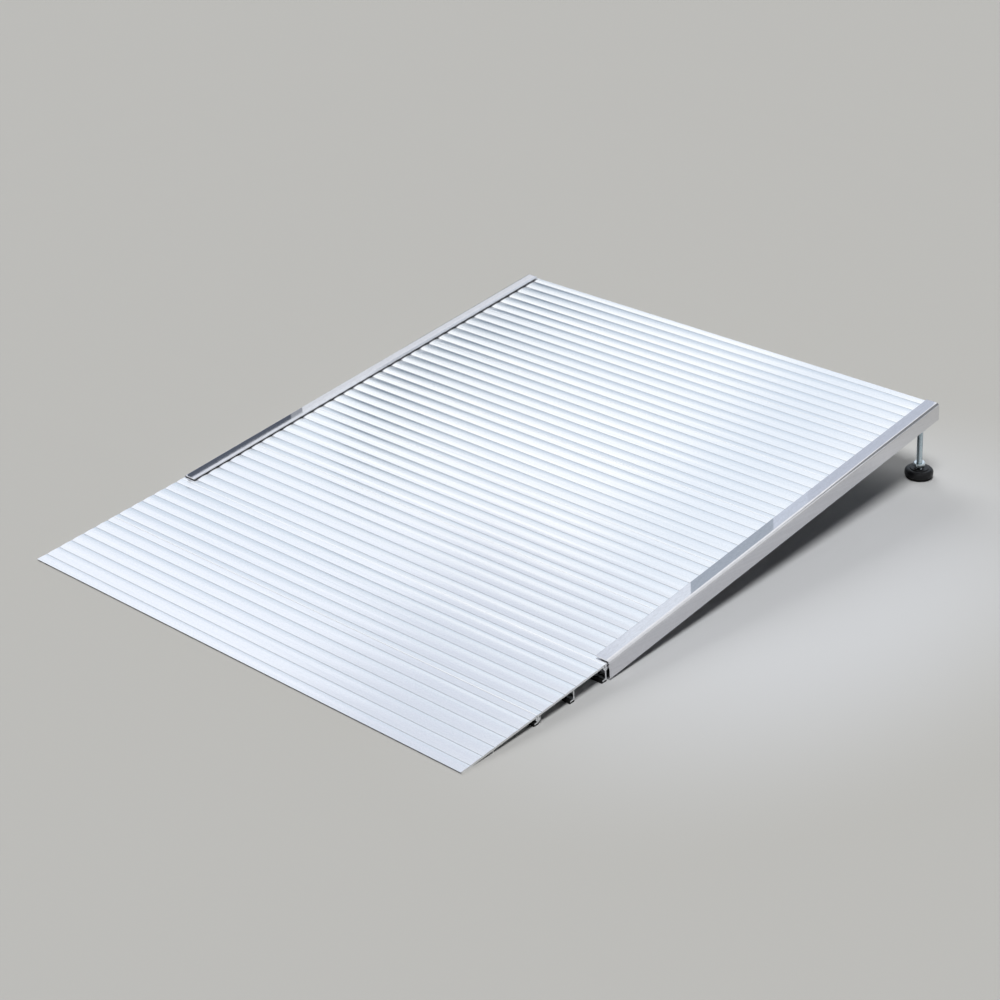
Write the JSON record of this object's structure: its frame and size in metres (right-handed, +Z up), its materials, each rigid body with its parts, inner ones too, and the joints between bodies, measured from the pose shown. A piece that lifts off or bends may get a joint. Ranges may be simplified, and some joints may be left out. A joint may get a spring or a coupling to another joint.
{
  "type": "threshold ramp",
  "caption": "Aluminium threshold ramp of hooked ribbed planks between channel side rails, with a hinged front wedge on rubber strips and screw-adjustable rear feet.",
  "frame": {"origin": "middle of the ramp's outline on the floor", "axes": "+X across the ramp to the right as seen by someone walking up it, +Y up the slope from the tip to the doorway end, +Z up"},
  "size_m": [0.932, 1.2064, 0.1358],
  "materials": {
    "deck_aluminium": "satin anodised",
    "rail_aluminium": "satin anodised",
    "block_aluminium": "mill",
    "zinc_steel": "zinc plated",
    "black_rubber": "matte",
    "black_plastic": "fine grain"
  },
  "bodies": {
    "deck": {"deck_plank_1": "deck_aluminium", "deck_plank_2": "deck_aluminium", "deck_plank_3": "deck_aluminium", "deck_plank_4": "deck_aluminium", "deck_plank_5": "deck_aluminium", "deck_plank_6": "deck_aluminium", "left_rail": "rail_aluminium", "left_rail_screws": "zinc_steel", "left_foot_block": "block_aluminium", "left_block_screws": "zinc_steel", "left_lock_nut": "zinc_steel", "right_rail": "rail_aluminium", "right_rail_screws": "zinc_steel", "right_foot_block": "block_aluminium", "right_block_screws": "zinc_steel", "right_lock_nut": "zinc_steel"},
    "wedge": {"wedge_plank": "deck_aluminium", "wedge_mid_strip": "black_rubber", "wedge_rear_strip": "black_rubber"},
    "tip": {"tip_plank": "deck_aluminium", "tip_strip": "black_rubber"},
    "left_collar": {"left_neck_washer": "black_plastic"},
    "left_screw_stud": {"left_stud": "zinc_steel"},
    "left_foot": {"left_pad": "black_plastic", "left_sole": "black_rubber"},
    "right_collar": {"right_neck_washer": "black_plastic"},
    "right_screw_stud": {"right_stud": "zinc_steel"},
    "right_foot": {"right_pad": "black_plastic", "right_sole": "black_rubber"}
  },
  "joints": [
    {"name": "wedge_hinge", "type": "hinge", "parent": "deck", "child": "wedge", "pos_m": [0, -0.29207, 0.02292], "axis": [1, 0, 0], "range_deg": [-4, 4]},
    {"name": "tip_hinge", "type": "hinge", "parent": "wedge", "child": "tip", "pos_m": [0, -0.44145, 0.00931], "axis": [1, 0, 0], "range_deg": [-4, 4]},
    {"name": "left_foot_height", "type": "slide", "parent": "deck", "child": "left_collar", "axis": [0, 0.1142, -0.9935], "range_m": [-0.007, 0.008]},
    {"name": "left_stud_turn", "type": "hinge", "parent": "left_collar", "child": "left_screw_stud", "pos_m": [-0.4415, 0.57867, 0.01208], "axis": [0, 0.1142, -0.9935], "range_deg": [-1681, 1921]},
    {"name": "left_pad_tilt", "type": "hinge", "parent": "left_collar", "child": "left_foot", "pos_m": [-0.4415, 0.57867, 0.01208], "axis": [1, 0, 0], "range_deg": [-5, 5]},
    {"name": "right_foot_height", "type": "slide", "parent": "deck", "child": "right_collar", "axis": [0, 0.1142, -0.9935], "range_m": [-0.007, 0.008]},
    {"name": "right_stud_turn", "type": "hinge", "parent": "right_collar", "child": "right_screw_stud", "pos_m": [0.4415, 0.57867, 0.01208], "axis": [0, 0.1142, -0.9935], "range_deg": [-1681, 1921]},
    {"name": "right_pad_tilt", "type": "hinge", "parent": "right_collar", "child": "right_foot", "pos_m": [0.4415, 0.57867, 0.01208], "axis": [1, 0, 0], "range_deg": [-5, 5]}
  ],
  "couplings": [
    {"joint": "left_stud_turn", "follows": "left_foot_height", "rad_per_m": 4188.8},
    {"joint": "right_stud_turn", "follows": "right_foot_height", "rad_per_m": 4188.8}
  ]
}
